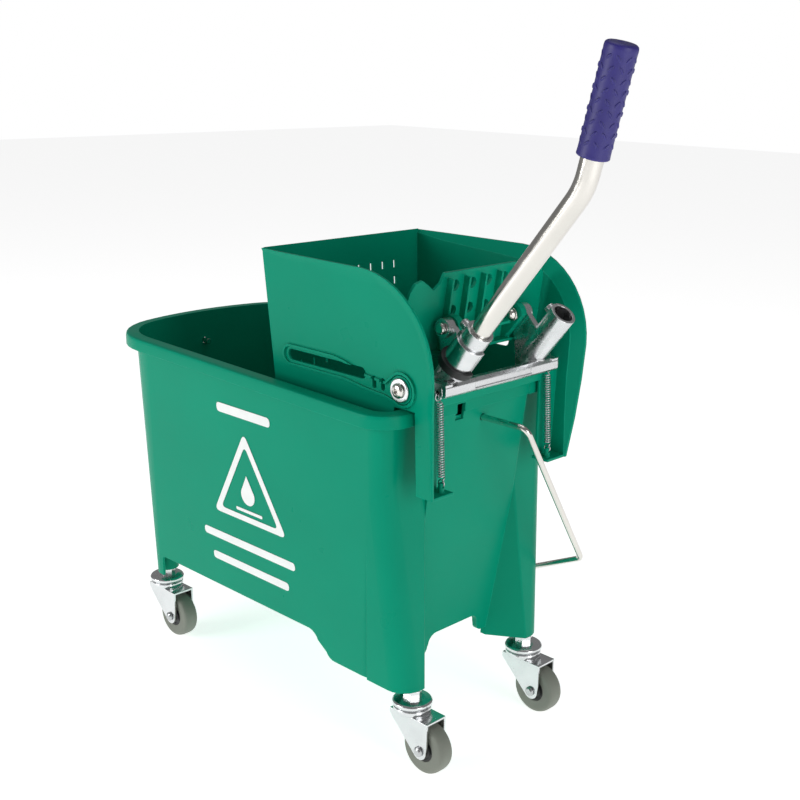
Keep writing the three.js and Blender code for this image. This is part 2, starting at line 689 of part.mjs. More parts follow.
function drainSlots() {
  const pitch = 17;
  const slots = [];
  for (let row = 0; row < 6; row += 1) {
    const z = panelTop - 33 - row * pitch;
    for (let column = -4; column <= 4; column += 1) {
      const y = column * pitch;
      slots.push(block(panelBack - 8, panelBack + 20, y - 1.75, y + 1.75, z - 4, z + 4));
    }
  }
  for (let row = 0; row < 4; row += 1) {
    const x = basketFront - 22 - row * 24;
    for (let column = -3; column <= 3; column += 1) {
      const y = column * 24;
      slots.push(block(x - 4, x + 4, y - 1.75, y + 1.75, basketFloor - 10, basketFloor + 14));
    }
  }
  return slots;
}

// The peg that holds each return spring's lower end.
const anchor = { x: rimFront + 15.5, z: panelTip + 8 };
const anchorY = socketY + 18;
function springPeg(side) {
  const y = side * anchorY;
  const peg = bar([anchor.x, y, panelTip + 1], [anchor.x, y, anchor.z + 3.5], 3.2, 2.6);
  return peg.subtract(bar([anchor.x - 9, y, anchor.z], [anchor.x + 9, y, anchor.z], 1.2, undefined, 8));
}

function wringerHopper() {
  const wide = 200;
  const outer = basketProfile(0);
  const inner = basketProfile(HOPPER_WALL).map(([x, z], i) => (i === 0 ? [x, z + 1] : [x, z]));
  const walls = slab([...outer, ...inner.reverse()], -wide, wide);
  const shelf = block(basketFront + 5.5, rimFront + 6, -wide, wide, shelfZ, shelfZ + HOPPER_WALL);
  const apronX = rimFront + 3.5;
  const apron = block(apronX, apronX + HOPPER_WALL, -wide, wide, panelTip, shelfZ + 9);
  const window = block(apronX - 5, apronX + 9, -72, 72, panelTip - 1, shelfZ);
  const ledge = block(apronX, panelFront - 9, -wide, wide, panelTip, panelTip + HOPPER_WALL);
  const ledgeGap = block(apronX - 5, panelFront, -68, 68, panelTip - 1, panelTip + 5);
  const across = join([walls, shelf, cut(apron, [window]), cut(ledge, [ledgeGap])]);
  const panels = [-1, 1].map(sidePanel);
  const pegs = [-1, 1].map(springPeg);
  return cut(join([across.intersect(hopperSpace()), ...panels, ...pegs]), drainSlots());
}

// ---- Lever: yoke, sockets, handle and press plate turn together about the pivot bolts ----
function socketPoint(distance) {
  return [socketBase.x + distance * Math.cos(socketTilt), socketBase.z + distance * Math.sin(socketTilt)];
}

// A bar across the object, on the left side (1) or the right side (-1).
function acrossBar(side, y0, y1, { x, z }, radius) {
  return bar([x, side * y0, z], [x, side * y1, z], radius);
}

// A slab across the object, on the left side (1) or the right side (-1).
function acrossSlab(side, profile, y0, y1) {
  return side > 0 ? slab(profile, y0, y1) : slab(profile, -y1, -y0);
}

// A bar square to a socket's tube, along the line of its clamp screw.
const SCREW_FROM_MOUTH = 8;
function screwBar(y, length, radius) {
  const [x, z] = socketPoint(SOCKET_LENGTH - SCREW_FROM_MOUTH);
  return bar([x, y, z], [x - length * Math.sin(socketTilt), y, z + length * Math.cos(socketTilt)], radius);
}

const pivot = { x: pivotX, z: pivotZ };
const pressBolt = { x: pivotX + 6, z: pivotZ + 50 };
const PRESS_BORE = PRESS_BOLT_DIAMETER / 2 + FIT_GAP;
const hubInner = socketY + 12;
const hubOuter = panelInner - 4;
const lugInner = socketY - 10; // the yoke's lug for the press plate, from the centre plane
const lugOuter = socketY - 4;
const hook = { x: rimFront + 11, z: pivotZ - 2.4 };
const barX0 = pivotX + 20;
const barX1 = pivotX + 32;
const barZ0 = pivotZ - 6;
const barZ1 = pivotZ + 6;
function yokeSide(side) {
  const y = side * socketY;
  const [mouthX, mouthZ] = socketPoint(SOCKET_LENGTH);
  const [footX, footZ] = socketPoint(-2);
  const [kneeX, kneeZ] = socketPoint(10);
  const tube = bar([footX, y, footZ], [mouthX, y, mouthZ], socketOuter, undefined, 24);
  const foot = bar([pivotX + 22, y, pivotZ - 1], [kneeX, y, kneeZ], 7, socketOuter);
  const hub = acrossBar(side, hubInner, hubOuter, pivot, 12);
  const web = [[-4, 8], [-4, -8], [30, -6], [32, 6]].map(([dx, dz]) => [pivotX + dx, pivotZ + dz]);
  const arm = acrossSlab(side, web, hubInner, hubInner + 9);
  const lug = [
    ...arc(pressBolt.x, pressBolt.z, 9, 20, 200, 8), [socketBase.x - 8, socketBase.z],
    [socketBase.x + 6, socketBase.z - 2], socketPoint(34),
  ];
  const plate = acrossSlab(side, lug, lugInner, lugOuter);
  const boss = acrossBar(side, socketY - 9, socketY, pressBolt, 9);
  const claw = [[-5, 3], [-4, -5], [3, -5.5], [6, -1], [5, 5]].map(([dx, dz]) => [hook.x + dx, hook.z + dz]);
  const springHook = acrossSlab(side, claw, anchorY + 0.5, anchorY + 3.5);
  return join([tube, foot, hub, arm, plate, boss, screwBar(y, 16, 5), springHook]);
}

function yoke() {
  const beam = [[0, 2], [2, 0], [10, 0], [12, 2], [12, 9], [9, 12], [3, 12], [0, 9]];
  const reach = hubInner + 9;
  const crossBar = slab(beam.map(([dx, dz]) => [barX0 + dx, barZ0 + dz]), -reach, reach);
  const groove = block(barX1 - 1, barX1 + 2, -socketY + 18, socketY - 18, barZ0 + 3, barZ1 - 4);
  const [mouthX, mouthZ] = socketPoint(SOCKET_LENGTH + 1);
  const [endX, endZ] = socketPoint(8);
  const cuts = [groove];
  for (const side of [-1, 1]) {
    const y = side * socketY;
    cuts.push(bar([endX, y, endZ], [mouthX, y, mouthZ], socketInner, undefined, 24));
    cuts.push(acrossBar(side, hubInner - 1, hubOuter + 1, pivot, PIVOT_BOLT_DIAMETER / 2 + FIT_GAP));
    cuts.push(acrossBar(side, socketY - 20, socketY + 20, pressBolt, PRESS_BORE));
    cuts.push(screwBar(y, 20, 2.8));
    cuts.push(acrossBar(side, anchorY - 6, anchorY + 10, hook, 2.2));
  }
  return cut(join([crossBar, yokeSide(-1), yokeSide(1)]), cuts);
}

const handleY = -socketY;
function handleRoute() {
  const base = socketPoint(9);
  const corner = [
    socketBase.x + TUBE_LOWER * Math.cos(socketTilt),
    socketBase.z + TUBE_LOWER * Math.sin(socketTilt),
  ];
  const top = [corner[0] + TUBE_UPPER * Math.cos(gripTilt), corner[1] + TUBE_UPPER * Math.sin(gripTilt)];
  return [base, corner, top].map(([x, z]) => new THREE.Vector3(x, handleY, z));
}

function handleTube() {
  return piped(roundedRoute(handleRoute(), 60, 8), tubeRadius, 24);
}

function onHandleTop(distance) {
  const [, corner, top] = handleRoute();
  const along = top.clone().sub(corner).normalize();
  return { at: top.clone().addScaledVector(along, distance).toArray(), axis: along.toArray() };
}

function handleGrip() {
  const { at, axis } = onHandleTop(4 - GRIP_LENGTH);
  const r = GRIP_DIAMETER / 2;
  const bore = tubeRadius + FIT_GAP;
  const depth = GRIP_LENGTH - 4 + FIT_GAP;
  return turned([
    [0, depth], [bore, depth], [bore, 0], [r - 2, 0], [r - 0.5, 1.2], [r, 3.5], [r, GRIP_LENGTH - 3],
    [r - 0.8, GRIP_LENGTH - 1], [r - 2.5, GRIP_LENGTH], [0, GRIP_LENGTH],
  ], at, axis, 24);
}

// The sleeve that clamps the handle's socket, and the ring below it.
function onSocket(from, to, radius) {
  const [x0, z0] = socketPoint(from);
  const [x1, z1] = socketPoint(to);
  return bar([x0, handleY, z0], [x1, handleY, z1], radius, undefined, 24);
}

const COLLAR_WALL = 2.2;
function socketCollar() {
  const inner = socketOuter + FIT_GAP;
  const sleeve = onSocket(SOCKET_LENGTH - 38, SOCKET_LENGTH - 14.5, inner + COLLAR_WALL);
  return cut(sleeve, [onSocket(0, SOCKET_LENGTH + 4, inner), lugClear()]);
}

function ringSeal() {
  const inner = socketOuter + FIT_GAP;
  const ring = onSocket(SOCKET_LENGTH - 45, SOCKET_LENGTH - 38 - FIT_GAP, inner + 5);
  return cut(ring, [onSocket(0, SOCKET_LENGTH + 4, inner), lugClear()]);
}

// The part of the yoke's plate lug that the sleeve and ring pass.
function lugClear() {
  return block(pivotX - 40, pivotX + 80, -lugOuter - FIT_GAP, 0, pivotZ - 40, pivotZ + 120);
}

function clampScrew() {
  const [x, z] = socketPoint(SOCKET_LENGTH - SCREW_FROM_MOUTH);
  const out = new THREE.Vector3(-Math.sin(socketTilt), 0, Math.cos(socketTilt));
  const base = new THREE.Vector3(x, handleY, z).addScaledVector(out, tubeRadius + FIT_GAP);
  const head = 16 - tubeRadius;
  const profile = [
    [0, 0], [2.5, 0], [2.5, head], [4.4, head], [4.4, head + 2], [3.4, head + 3.2], [0, head + 3.2],
  ];
  return turned(profile, base.toArray(), out.toArray(), 16);
}

const pressY = PRESS_WIDTH / 2;
const pressTop = 97; // top edge above the pivot
const pressLean = -8; // degrees from the vertical: the top leans towards +X
const armInner = socketY - 18; // the plate's two arms, from the centre plane
const armOuter = lugInner - RUN_GAP;
function pressSheet() {
  const low = 22;
  const wave = [
    [pressY - 44, pressTop], [pressY - 40, pressTop - 9], [pressY - 32, pressTop - 15],
    [pressY - 24, pressTop - 9], [pressY - 16, pressTop - 4], [pressY - 8, pressTop - 6],
    [pressY - 2, pressTop - 14], [pressY, pressTop - 22],
  ];
  const right = [[0, low], [pressY - 12, low], [pressY, low + 10]];
  const half = [...right, ...wave.reverse()];
  const other = half.slice(1).map(([y, z]) => [-y, z]).reverse();
  return crossSlab([...half, ...other], -16, -13);
}

function pressHoles() {
  const holes = [];
  for (const y of [-34, -11, 11, 34]) {
    for (const z of [84, 60]) {
      holes.push(bar([-30, y, z], [10, y, z], 5.5, undefined, 8));
    }
  }
  return holes;
}

function pressPlate() {
  const ribs = [-45, -22.5, 0, 22.5, 45].map((y) => block(-14, -6, y - 1.2, y + 1.2, 24, 92));
  const flange = block(-14, 4, -48, 48, 44, 46.6);
  const foot = block(-14, -4, 12 - pressY, pressY - 12, 22, 24.6);
  const lean = new THREE.Matrix4().makeRotationY(THREE.MathUtils.degToRad(-pressLean));
  lean.setPosition(pivotX, 0, pivotZ);
  const sheet = cut(join([pressSheet(), ...ribs, flange, foot]), pressHoles()).transform(lean.elements);
  const arm = [
    ...arc(pressBolt.x, pressBolt.z, 10.5, 0, 180, 8), [pivotX - 10.5, pivotZ + 40],
    [pivotX - 12.5, pivotZ + 26], [pivotX - 4, pivotZ + 26],
  ];
  const sides = [-1, 1];
  const arms = sides.map((side) => acrossSlab(side, arm, armInner, armOuter));
  const bores = sides.map((side) => acrossBar(side, 20, 80, pressBolt, PRESS_BORE));
  const nutRoom = sides.map((side) => acrossBar(side, armInner - 9, armInner, pressBolt, 8.2));
  return cut(join([sheet, ...arms]), [...bores, ...nutRoom]);
}

function acrossPress(side, profile, segments) {
  return turned(profile, [pressBolt.x, 0, pressBolt.z], [0, side, 0], segments);
}

function pressBoltPiece(side) {
  const r = PRESS_BOLT_DIAMETER / 2;
  const head = socketY + FIT_GAP;
  const end = armInner - 5;
  return acrossPress(side, [
    [0, end], [r, end], [r, head], [5.5, head], [5.5, head + 2.5], [4, head + 4], [0, head + 4],
  ], 16);
}

function domeNut(side) {
  const face = armInner - FIT_GAP;
  return acrossPress(side, [
    [0, face - 8], [2.6, face - 7.6], [4.6, face - 6], [5.4, face - 4], [7, face - 3.6], [7, face],
    [PRESS_BORE, face], [PRESS_BORE, face - 5.6], [0, face - 5.6],
  ], 16);
}

function acrossPivot(side, profile, segments) {
  return turned(profile, [pivotX, 0, pivotZ], [0, side, 0], segments);
}

const WASHER = 1.6;
const washerFace = panelOuter + BEAD_PROUD + 1.1;
function pivotWasher(side) {
  const r = PIVOT_BOLT_DIAMETER / 2 + FIT_GAP;
  const outer = washerFace + WASHER;
  return acrossPivot(side, [
    [r, washerFace], [11, washerFace], [11, outer - 0.6], [10.3, outer], [r, outer],
  ], 20);
}

function pivotBolt(side) {
  const r = PIVOT_BOLT_DIAMETER / 2;
  const under = washerFace + WASHER + FIT_GAP;
  const end = hubInner - 11;
  return acrossPivot(side, [
    [0, end], [r, end], [r, under], [7, under], [6.8, under + 1.5], [5.2, under + 3.2], [2.6, under + 3.8],
    [2.6, under + 1.4], [0, under + 1.4],
  ], 20);
}

function pivotNut(side) {
  const face = hubInner - RUN_GAP;
  return acrossPivot(side, nutProfile(PIVOT_BOLT_DIAMETER, 9, face - 7, face), 6);
}

// A return spring: its coil's outer form, with a stub towards each hook.
function returnSpring(side) {
  const top = [hook.x, side * anchorY, hook.z - 6 - FIT_GAP];
  const low = [anchor.x, side * anchorY, anchor.z + 3.5 + FIT_GAP];
  const mix = (t) => low.map((v, i) => v + (top[i] - v) * t);
  return join([
    bar(mix(0), mix(0.06), 1.4, undefined, 12), bar(mix(0.05), mix(0.93), SPRING_DIAMETER / 2),
    bar(mix(0.92), mix(1), 1.4, undefined, 12),
  ]);
}

// ---- The whole object ----
const bucket = new THREE.Group();
bucket.add(piece("bucket_body", bucketBody(), GREEN));
const wire = piped(roundedRoute(bailRoute(), 9, 4), wireRadius, 8);
bucket.add(piece("bail_handle", wire, STEEL));

for (const place of casterPlaces()) {
  bucket.add(piece(`caster_stem_${place.name}`, casterStem(place), ZINC));
  bucket.add(piece(`caster_fork_${place.name}`, casterFork(place), ZINC));
  bucket.add(piece(`wheel_axle_${place.name}`, casterAxle(place), DARK_STEEL));
  bucket.add(piece(`axle_nut_${place.name}`, casterNut(place), DARK_STEEL));
  bucket.add(piece(`wheel_hub_${place.name}`, casterHub(place), BLACK));
  bucket.add(piece(`wheel_tyre_${place.name}`, casterTyre(place), GREY_RUBBER));
}

const wringer = new THREE.Group();
wringer.add(piece("wringer_hopper", wringerHopper(), GREEN));
wringer.add(piece("yoke", yoke(), ZINC));
wringer.add(piece("press_plate", pressPlate(), GREEN));
wringer.add(piece("handle_tube", handleTube(), STEEL));
wringer.add(piece("handle_grip", handleGrip(), BLUE_GRIP));
wringer.add(piece("socket_collar", socketCollar(), ZINC));
wringer.add(piece("socket_ring", ringSeal(), BLACK));
wringer.add(piece("clamp_screw", clampScrew(), DARK_STEEL));
for (const [name, side] of [["left", 1], ["right", -1]]) {
  wringer.add(piece(`pivot_bolt_${name}`, pivotBolt(side), STEEL));
  wringer.add(piece(`pivot_washer_${name}`, pivotWasher(side), ZINC));
  wringer.add(piece(`pivot_nut_${name}`, pivotNut(side), DARK_STEEL));
  wringer.add(piece(`press_bolt_${name}`, pressBoltPiece(side), STEEL));
  wringer.add(piece(`press_nut_${name}`, domeNut(side), STEEL));
  wringer.add(piece(`return_spring_${name}`, returnSpring(side), DARK_STEEL));
}

const object = new THREE.Group();
object.add(bucket, wringer);
// The origin lies on the floor, under the middle of the whole object.
const middle = new THREE.Box3().setFromObject(object).getCenter(new THREE.Vector3());
object.position.set(-middle.x, 0, 0);

export default object;
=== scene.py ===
"""Looks for the mop bucket with lever wringer: finer pieces, materials, light and camera."""

import math

import bmesh
import bpy
from mathutils import Matrix, Vector


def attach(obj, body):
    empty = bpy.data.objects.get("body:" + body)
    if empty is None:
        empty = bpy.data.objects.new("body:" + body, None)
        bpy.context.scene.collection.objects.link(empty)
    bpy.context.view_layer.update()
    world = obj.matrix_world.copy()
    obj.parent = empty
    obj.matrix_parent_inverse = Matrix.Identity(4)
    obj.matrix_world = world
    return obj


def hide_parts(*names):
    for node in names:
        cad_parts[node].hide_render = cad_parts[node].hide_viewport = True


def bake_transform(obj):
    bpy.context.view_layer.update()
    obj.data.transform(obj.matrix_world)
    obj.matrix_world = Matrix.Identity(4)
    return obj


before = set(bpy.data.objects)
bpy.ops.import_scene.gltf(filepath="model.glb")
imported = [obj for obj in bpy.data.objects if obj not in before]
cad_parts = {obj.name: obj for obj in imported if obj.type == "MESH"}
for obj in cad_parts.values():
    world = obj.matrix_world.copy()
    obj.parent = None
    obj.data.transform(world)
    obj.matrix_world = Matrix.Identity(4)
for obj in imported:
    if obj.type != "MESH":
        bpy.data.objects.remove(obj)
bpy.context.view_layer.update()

# ---- Sizes repeated from the part, in millimetres from the front casters' swivel axes ----
MIDDLE_X = -134.138  # the row frame's origin
SWIVELS = {
    "front_left": (0.0, 83.3), "front_right": (0.0, -83.3),
    "rear_left": (-400.5, 83.3), "rear_right": (-400.5, -83.3),
}
TRAIL = 22.0
WHEEL_RADIUS = 25.0
SIDES = {"left": 1, "right": -1}
LEG_BOTTOM = 78.0
BUCKET_HEIGHT = 277.0
WALL_LOW = 102.0  # the long walls from the centre plane, at the leg bottoms
SIDE_TAPER = 23.0
BAIL_HEIGHT = 331.0  # the bail's pivot
BAIL_HANG = 58.0  # degrees below the horizontal
BAIL_SHOULDER = 182.0
BAIL_REACH = 231.0
GRIP_TILT = 76.0  # degrees above the horizontal
BUMP_ROWS = 9
BUMPS_AROUND = 10


def at(x, y, z):
    """A point in the row frame, in metres."""
    return Vector(((x - MIDDLE_X) / 1000, y / 1000, z / 1000))


# ---- Materials ----
def link(tree, a, b):
    tree.links.new(a, b)


def math_node(tree, kind, a, b):
    """A Math node on two inputs, each a socket or a number."""
    node = tree.nodes.new("ShaderNodeMath")
    node.operation = kind
    for socket, value in zip(node.inputs, (a, b)):
        if isinstance(value, (int, float)):
            socket.default_value = value
        else:
            link(tree, value, socket)
    return node.outputs[0]


def noise(tree, coords, scale, detail=3.0, rough=0.55, stretch=(1, 1, 1)):
    mapping = tree.nodes.new("ShaderNodeMapping")
    mapping.inputs["Scale"].default_value = stretch
    link(tree, coords, mapping.inputs["Vector"])
    node = tree.nodes.new("ShaderNodeTexNoise")
    node.inputs["Scale"].default_value = scale
    node.inputs["Detail"].default_value = detail
    node.inputs["Roughness"].default_value = rough
    link(tree, mapping.outputs[0], node.inputs["Vector"])
    return node.outputs["Fac"]


def spread(tree, value, low, high, start=0.3, end=0.7):
    """Maps a noise from start..end onto low..high."""
    node = tree.nodes.new("ShaderNodeMapRange")
    node.inputs["From Min"].default_value = start
    node.inputs["From Max"].default_value = end
    node.inputs["To Min"].default_value = low
    node.inputs["To Max"].default_value = high
    link(tree, value, node.inputs["Value"])
    return node.outputs[0]


def blend_colour(tree, factor, a, b):
    node = tree.nodes.new("ShaderNodeMix")
    node.data_type = "RGBA"
    node.inputs["A"].default_value = (*a, 1) if isinstance(a, tuple) else (0, 0, 0, 1)
    if not isinstance(a, tuple):
        link(tree, a, node.inputs["A"])
    node.inputs["B"].default_value = (*b, 1)
    link(tree, factor, node.inputs["Factor"])
    return node.outputs["Result"]


def surface(
    name, colour, roughness, metallic=0.0, vary=0.07, patch=9.0, grain=900.0, bump=0.1, depth=0.0002,
    edge=0.0007, edge_wear_and_highlight=None, stretch=(1, 1, 1), rough_spread=0.07, scuffs=0.0, specular=0.5,
):
    """A material with colour patches, uneven gloss, a fine grain, rounded edges, and a lighter edge colour
    that paints highlight and wear onto the edges.
    """
    mat = bpy.data.materials.new(name)
    mat.use_nodes = True
    tree = mat.node_tree
    shader = tree.nodes["Principled BSDF"]
    shader.inputs["Metallic"].default_value = metallic
    shader.inputs["Specular IOR Level"].default_value = specular
    coords = tree.nodes.new("ShaderNodeTexCoord").outputs["Object"]

    patches = spread(tree, noise(tree, coords, patch), 0, 1)
    dark = tuple(c * (1 - vary) for c in colour)
    light = tuple(min(c * (1 + vary), 1) for c in colour)
    tint = blend_colour(tree, patches, dark, light)

    fine = noise(tree, coords, grain, 2.0, 0.6, stretch)
    rounded = tree.nodes.new("ShaderNodeBevel")
    rounded.samples = 4
    rounded.inputs["Radius"].default_value = edge
    # Painted highlight and wear: a lighter colour along the rounded edges, broken up by noise.
    if edge_wear_and_highlight:
        facing = tree.nodes.new("ShaderNodeVectorMath")
        facing.operation = "DOT_PRODUCT"
        link(tree, rounded.outputs[0], facing.inputs[0])
        geometry = tree.nodes.new("ShaderNodeNewGeometry")
        link(tree, geometry.outputs["Normal"], facing.inputs[1])
        rim = spread(tree, facing.outputs["Value"], 1, 0, 0.86, 0.995)
        edge_wear_and_highlight_mask = math_node(tree, "MULTIPLY", rim, spread(tree, noise(tree, coords, 60.0), 0.1, 0.8))
        tint = blend_colour(tree, edge_wear_and_highlight_mask, tint, edge_wear_and_highlight)
    link(tree, tint, shader.inputs["Base Color"])

    gloss = spread(tree, noise(tree, coords, patch * 4), roughness - rough_spread, roughness + rough_spread)
    if scuffs:
        marks = noise(tree, coords, 70.0, 4.0, 0.7, (1.0, 1.0, 0.12))
        gloss = math_node(tree, "ADD", gloss, spread(tree, marks, 0, scuffs, 0.58, 0.72))
    link(tree, gloss, shader.inputs["Roughness"])

    relief = tree.nodes.new("ShaderNodeBump")
    relief.inputs["Strength"].default_value = bump
    relief.inputs["Distance"].default_value = depth
    link(tree, fine, relief.inputs["Height"])
    link(tree, rounded.outputs[0], relief.inputs["Normal"])
    link(tree, relief.outputs[0], shader.inputs["Normal"])
    return mat


# The green's lighter edge colour is a painted highlight along the rims and edges of the mouldings.
GREEN = surface(
    "green_moulding", (0.0, 0.27, 0.16), 0.32, vary=0.05, patch=6.0, grain=1400.0, bump=0.12,
    edge=0.0011, edge_wear_and_highlight=(0.01, 0.5, 0.32), rough_spread=0.05, scuffs=0.1, specular=0.07,
)
ZINC = surface(
    "zinc_casting", (0.66, 0.67, 0.68), 0.27, 1.0, vary=0.08, patch=30.0, grain=300.0, bump=0.08,
    edge=0.0011, edge_wear_and_highlight=(0.9, 0.9, 0.9), rough_spread=0.07,
)
SHEET = surface(
    "zinc_sheet", (0.68, 0.69, 0.70), 0.2, 1.0, vary=0.06, patch=45.0, grain=500.0, bump=0.05,
    edge=0.0006, edge_wear_and_highlight=(0.95, 0.95, 0.95), rough_spread=0.08,
)
TUBE = surface(
    "bright_tube", (0.68, 0.66, 0.62), 0.17, 1.0, vary=0.04, patch=20.0, grain=900.0, bump=0.04,
    edge=0.0005, stretch=(0.08, 1, 0.05), rough_spread=0.06,
)
STEEL = surface(
    "dark_steel", (0.52, 0.53, 0.54), 0.3, 1.0, vary=0.12, patch=80.0, grain=800.0, bump=0.15,
    edge=0.0003, rough_spread=0.1,
)
GRIP = surface(
    "blue_vinyl", (0.02, 0.014, 0.16), 0.45, vary=0.08, patch=40.0, grain=1600.0, bump=0.2,
    edge=0.0006, edge_wear_and_highlight=(0.05, 0.05, 0.2), rough_spread=0.06,
)
BLACK = surface("black_rubber", (0.012, 0.012, 0.013), 0.5, vary=0.2, patch=50.0, grain=1500.0, bump=0.25)
HUB = surface("black_hub", (0.016, 0.016, 0.017), 0.38, vary=0.2, patch=60.0, grain=1300.0, bump=0.2)
TYRE = surface(
    "grey_tyre", (0.2, 0.215, 0.18), 0.62, vary=0.07, patch=35.0, grain=1100.0, bump=0.3,
    edge_wear_and_highlight=(0.28, 0.29, 0.25), rough_spread=0.06, scuffs=0.12,
)
WHITE = surface("white_print", (0.82, 0.84, 0.83), 0.45, vary=0.03, patch=60.0, grain=1500.0, bump=0.08)


# ---- Mesh pieces ----
def finished(name, bm, material, body, replaced=(), sharp=35.0):
    """Makes a piece from a bmesh: smooth, with edges over the sharp angle kept crisp."""
    bmesh.ops.recalc_face_normals(bm, faces=bm.faces)
    for face in bm.faces:
        face.smooth = True
    for e in bm.edges:
        e.smooth = len(e.link_faces) == 2 and e.calc_face_angle() < math.radians(sharp)
    mesh = bpy.data.meshes.new(name)
    bm.to_mesh(mesh)
    bm.free()
    obj = bpy.data.objects.new(name, mesh)
    bpy.context.collection.objects.link(obj)
    mesh.materials.append(material)
    obj.modifiers.new("normals", "WEIGHTED_NORMAL").keep_sharp = True
    if body:
        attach(obj, body)
    if replaced:
        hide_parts(*replaced)
    return obj


def refined(node, material, body, sharp=35.0):
    """A CAD node's own shape, welded and smoothly shaded."""
    bm = bmesh.new()
    bm.from_mesh(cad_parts[node].data)
    bmesh.ops.remove_doubles(bm, verts=bm.verts, dist=1e-5)
    bmesh.ops.dissolve_limit(bm, angle_limit=math.radians(0.7), verts=bm.verts, edges=bm.edges)
    return finished(f"{node}_surface", bm, material, body, (node,), sharp)


def bridge(bm, rings, closed):
    """Skins rings of vertices. A closed row also joins the last ring to the first; an open row gets no end
    faces.
    """
    pairs = list(zip(rings, rings[1:]))
    if closed:
        pairs.append((rings[-1], rings[0]))
    for a, b in pairs:
        count = len(a)
        for i in range(count):
            j = (i + 1) % count
            corners = [a[i], a[j], b[j], b[i]]
            distinct = [v for k, v in enumerate(corners) if v not in corners[:k]]
            if len(distinct) > 2:
                bm.faces.new(distinct)


def lathe(bm, profile, centre, axis, segments=48):
    """Adds a turned shape: the profile's points are (radius, distance along the axis), in millimetres."""
    turn = Vector((0, 0, 1)).rotation_difference(Vector(axis).normalized()).to_matrix()
    rings = []
    for radius, along in profile:
        if radius == 0:
            rings.append([bm.verts.new(centre + turn @ Vector((0, 0, along / 1000)))] * segments)
            continue
        ring = []
        for k in range(segments):
            a = 2 * math.pi * k / segments
            spot = Vector((radius * math.cos(a), radius * math.sin(a), along)) / 1000
            ring.append(bm.verts.new(centre + turn @ spot))
        rings.append(ring)
    bridge(bm, rings, profile[0][0] > 0)


def sweep(bm, points, radius, segments=12):
    """Adds a round wire through points, in metres, with flat ends."""
    across = Vector((0, 1, 0))
    rings = []
    for i, point in enumerate(points):
        before, after = points[max(i - 1, 0)], points[min(i + 1, len(points) - 1)]
        along = (after - before).normalized()
        across = (across - along * across.dot(along)).normalized()
        side = along.cross(across)
        ring = []
        for k in range(segments):
            a = 2 * math.pi * k / segments
            ring.append(bm.verts.new(point + (across * math.cos(a) + side * math.sin(a)) * radius))
        rings.append(ring)
    bridge(bm, rings, False)
    bm.faces.new(list(reversed(rings[0])))
    bm.faces.new(rings[-1])


def rounded_route(corners, radius, steps):
    """A route whose corners are arcs of the given radius, in metres."""
    points = [corners[0]]
    for before, here, after in zip(corners, corners[1:], corners[2:]):
        back = (before - here).normalized()
        on = (after - here).normalized()
        turn = math.pi - back.angle(on)
        start = here + back * radius * math.tan(turn / 2)
        centre = here + (back + on).normalized() * radius / math.cos(turn / 2)
        for k in range(steps + 1):
            a = turn * k / steps
            points.append(centre + (start - centre) * math.cos(a) - back * radius * math.sin(a))
    points.append(corners[-1])
    return points


def soft_profile(profile, radius, steps=4):
    """A closed or open lathe profile with each corner rounded."""
    points = [profile[0]]
    for before, here, after in zip(profile, profile[1:], profile[2:]):
        a, b, c = (Vector(p) for p in (before, here, after))
        reach = min(radius, (a - b).length * 0.45, (c - b).length * 0.45)
        start = b + (a - b).normalized() * reach
        end = b + (c - b).normalized() * reach
        for k in range(steps + 1):
            t = k / steps
            spot = start * (1 - t) ** 2 + b * 2 * t * (1 - t) + end * t * t
            points.append((max(spot.x, 0), spot.y))
    points.append(profile[-1])
    return points


# ---- Plastic mouldings and castings that keep the CAD shape ----
refined("bucket_body", GREEN, "bucket")
refined("wringer_hopper", GREEN, "wringer")
refined("press_plate", GREEN, "lever")
refined("yoke", ZINC, "lever", 40.0)
refined("handle_tube", TUBE, "lever")
refined("socket_collar", SHEET, "lever")
refined("socket_ring", BLACK, "lever")
refined("clamp_screw", STEEL, "lever")


# ---- Casters ----
STEM = [
    (0, 51.7), (8, 51.7), (8, 53.7), (5, 53.7), (5, 62.5), (18, 62.5), (19.5, 64), (19.5, 66.5), (18, 68),
    (12, 69), (5, 69), (5, 103), (0, 104),
]


DISH_RIM = [(16.4, 61.9), (18.3, 61.2), (18.6, 59), (18.2, 57), (16.4, 57)]


def tyre_profile():
    side = [(12.3, -8), (21, -9), (23.8, -8), (25, -4.5)]
    other = [(r, -h) for r, h in reversed(side)]
    closed = side + other + [side[0]]
    return soft_profile(closed, 1.6)[:-1]


def hub_profile():
    face = [(3.3, -10.5), (5.5, -10.5), (6.5, -7), (8.5, -6.2), (10.2, -7.2), (12, -8)]
    return soft_profile(face + [(r, -h) for r, h in reversed(face)], 0.7)


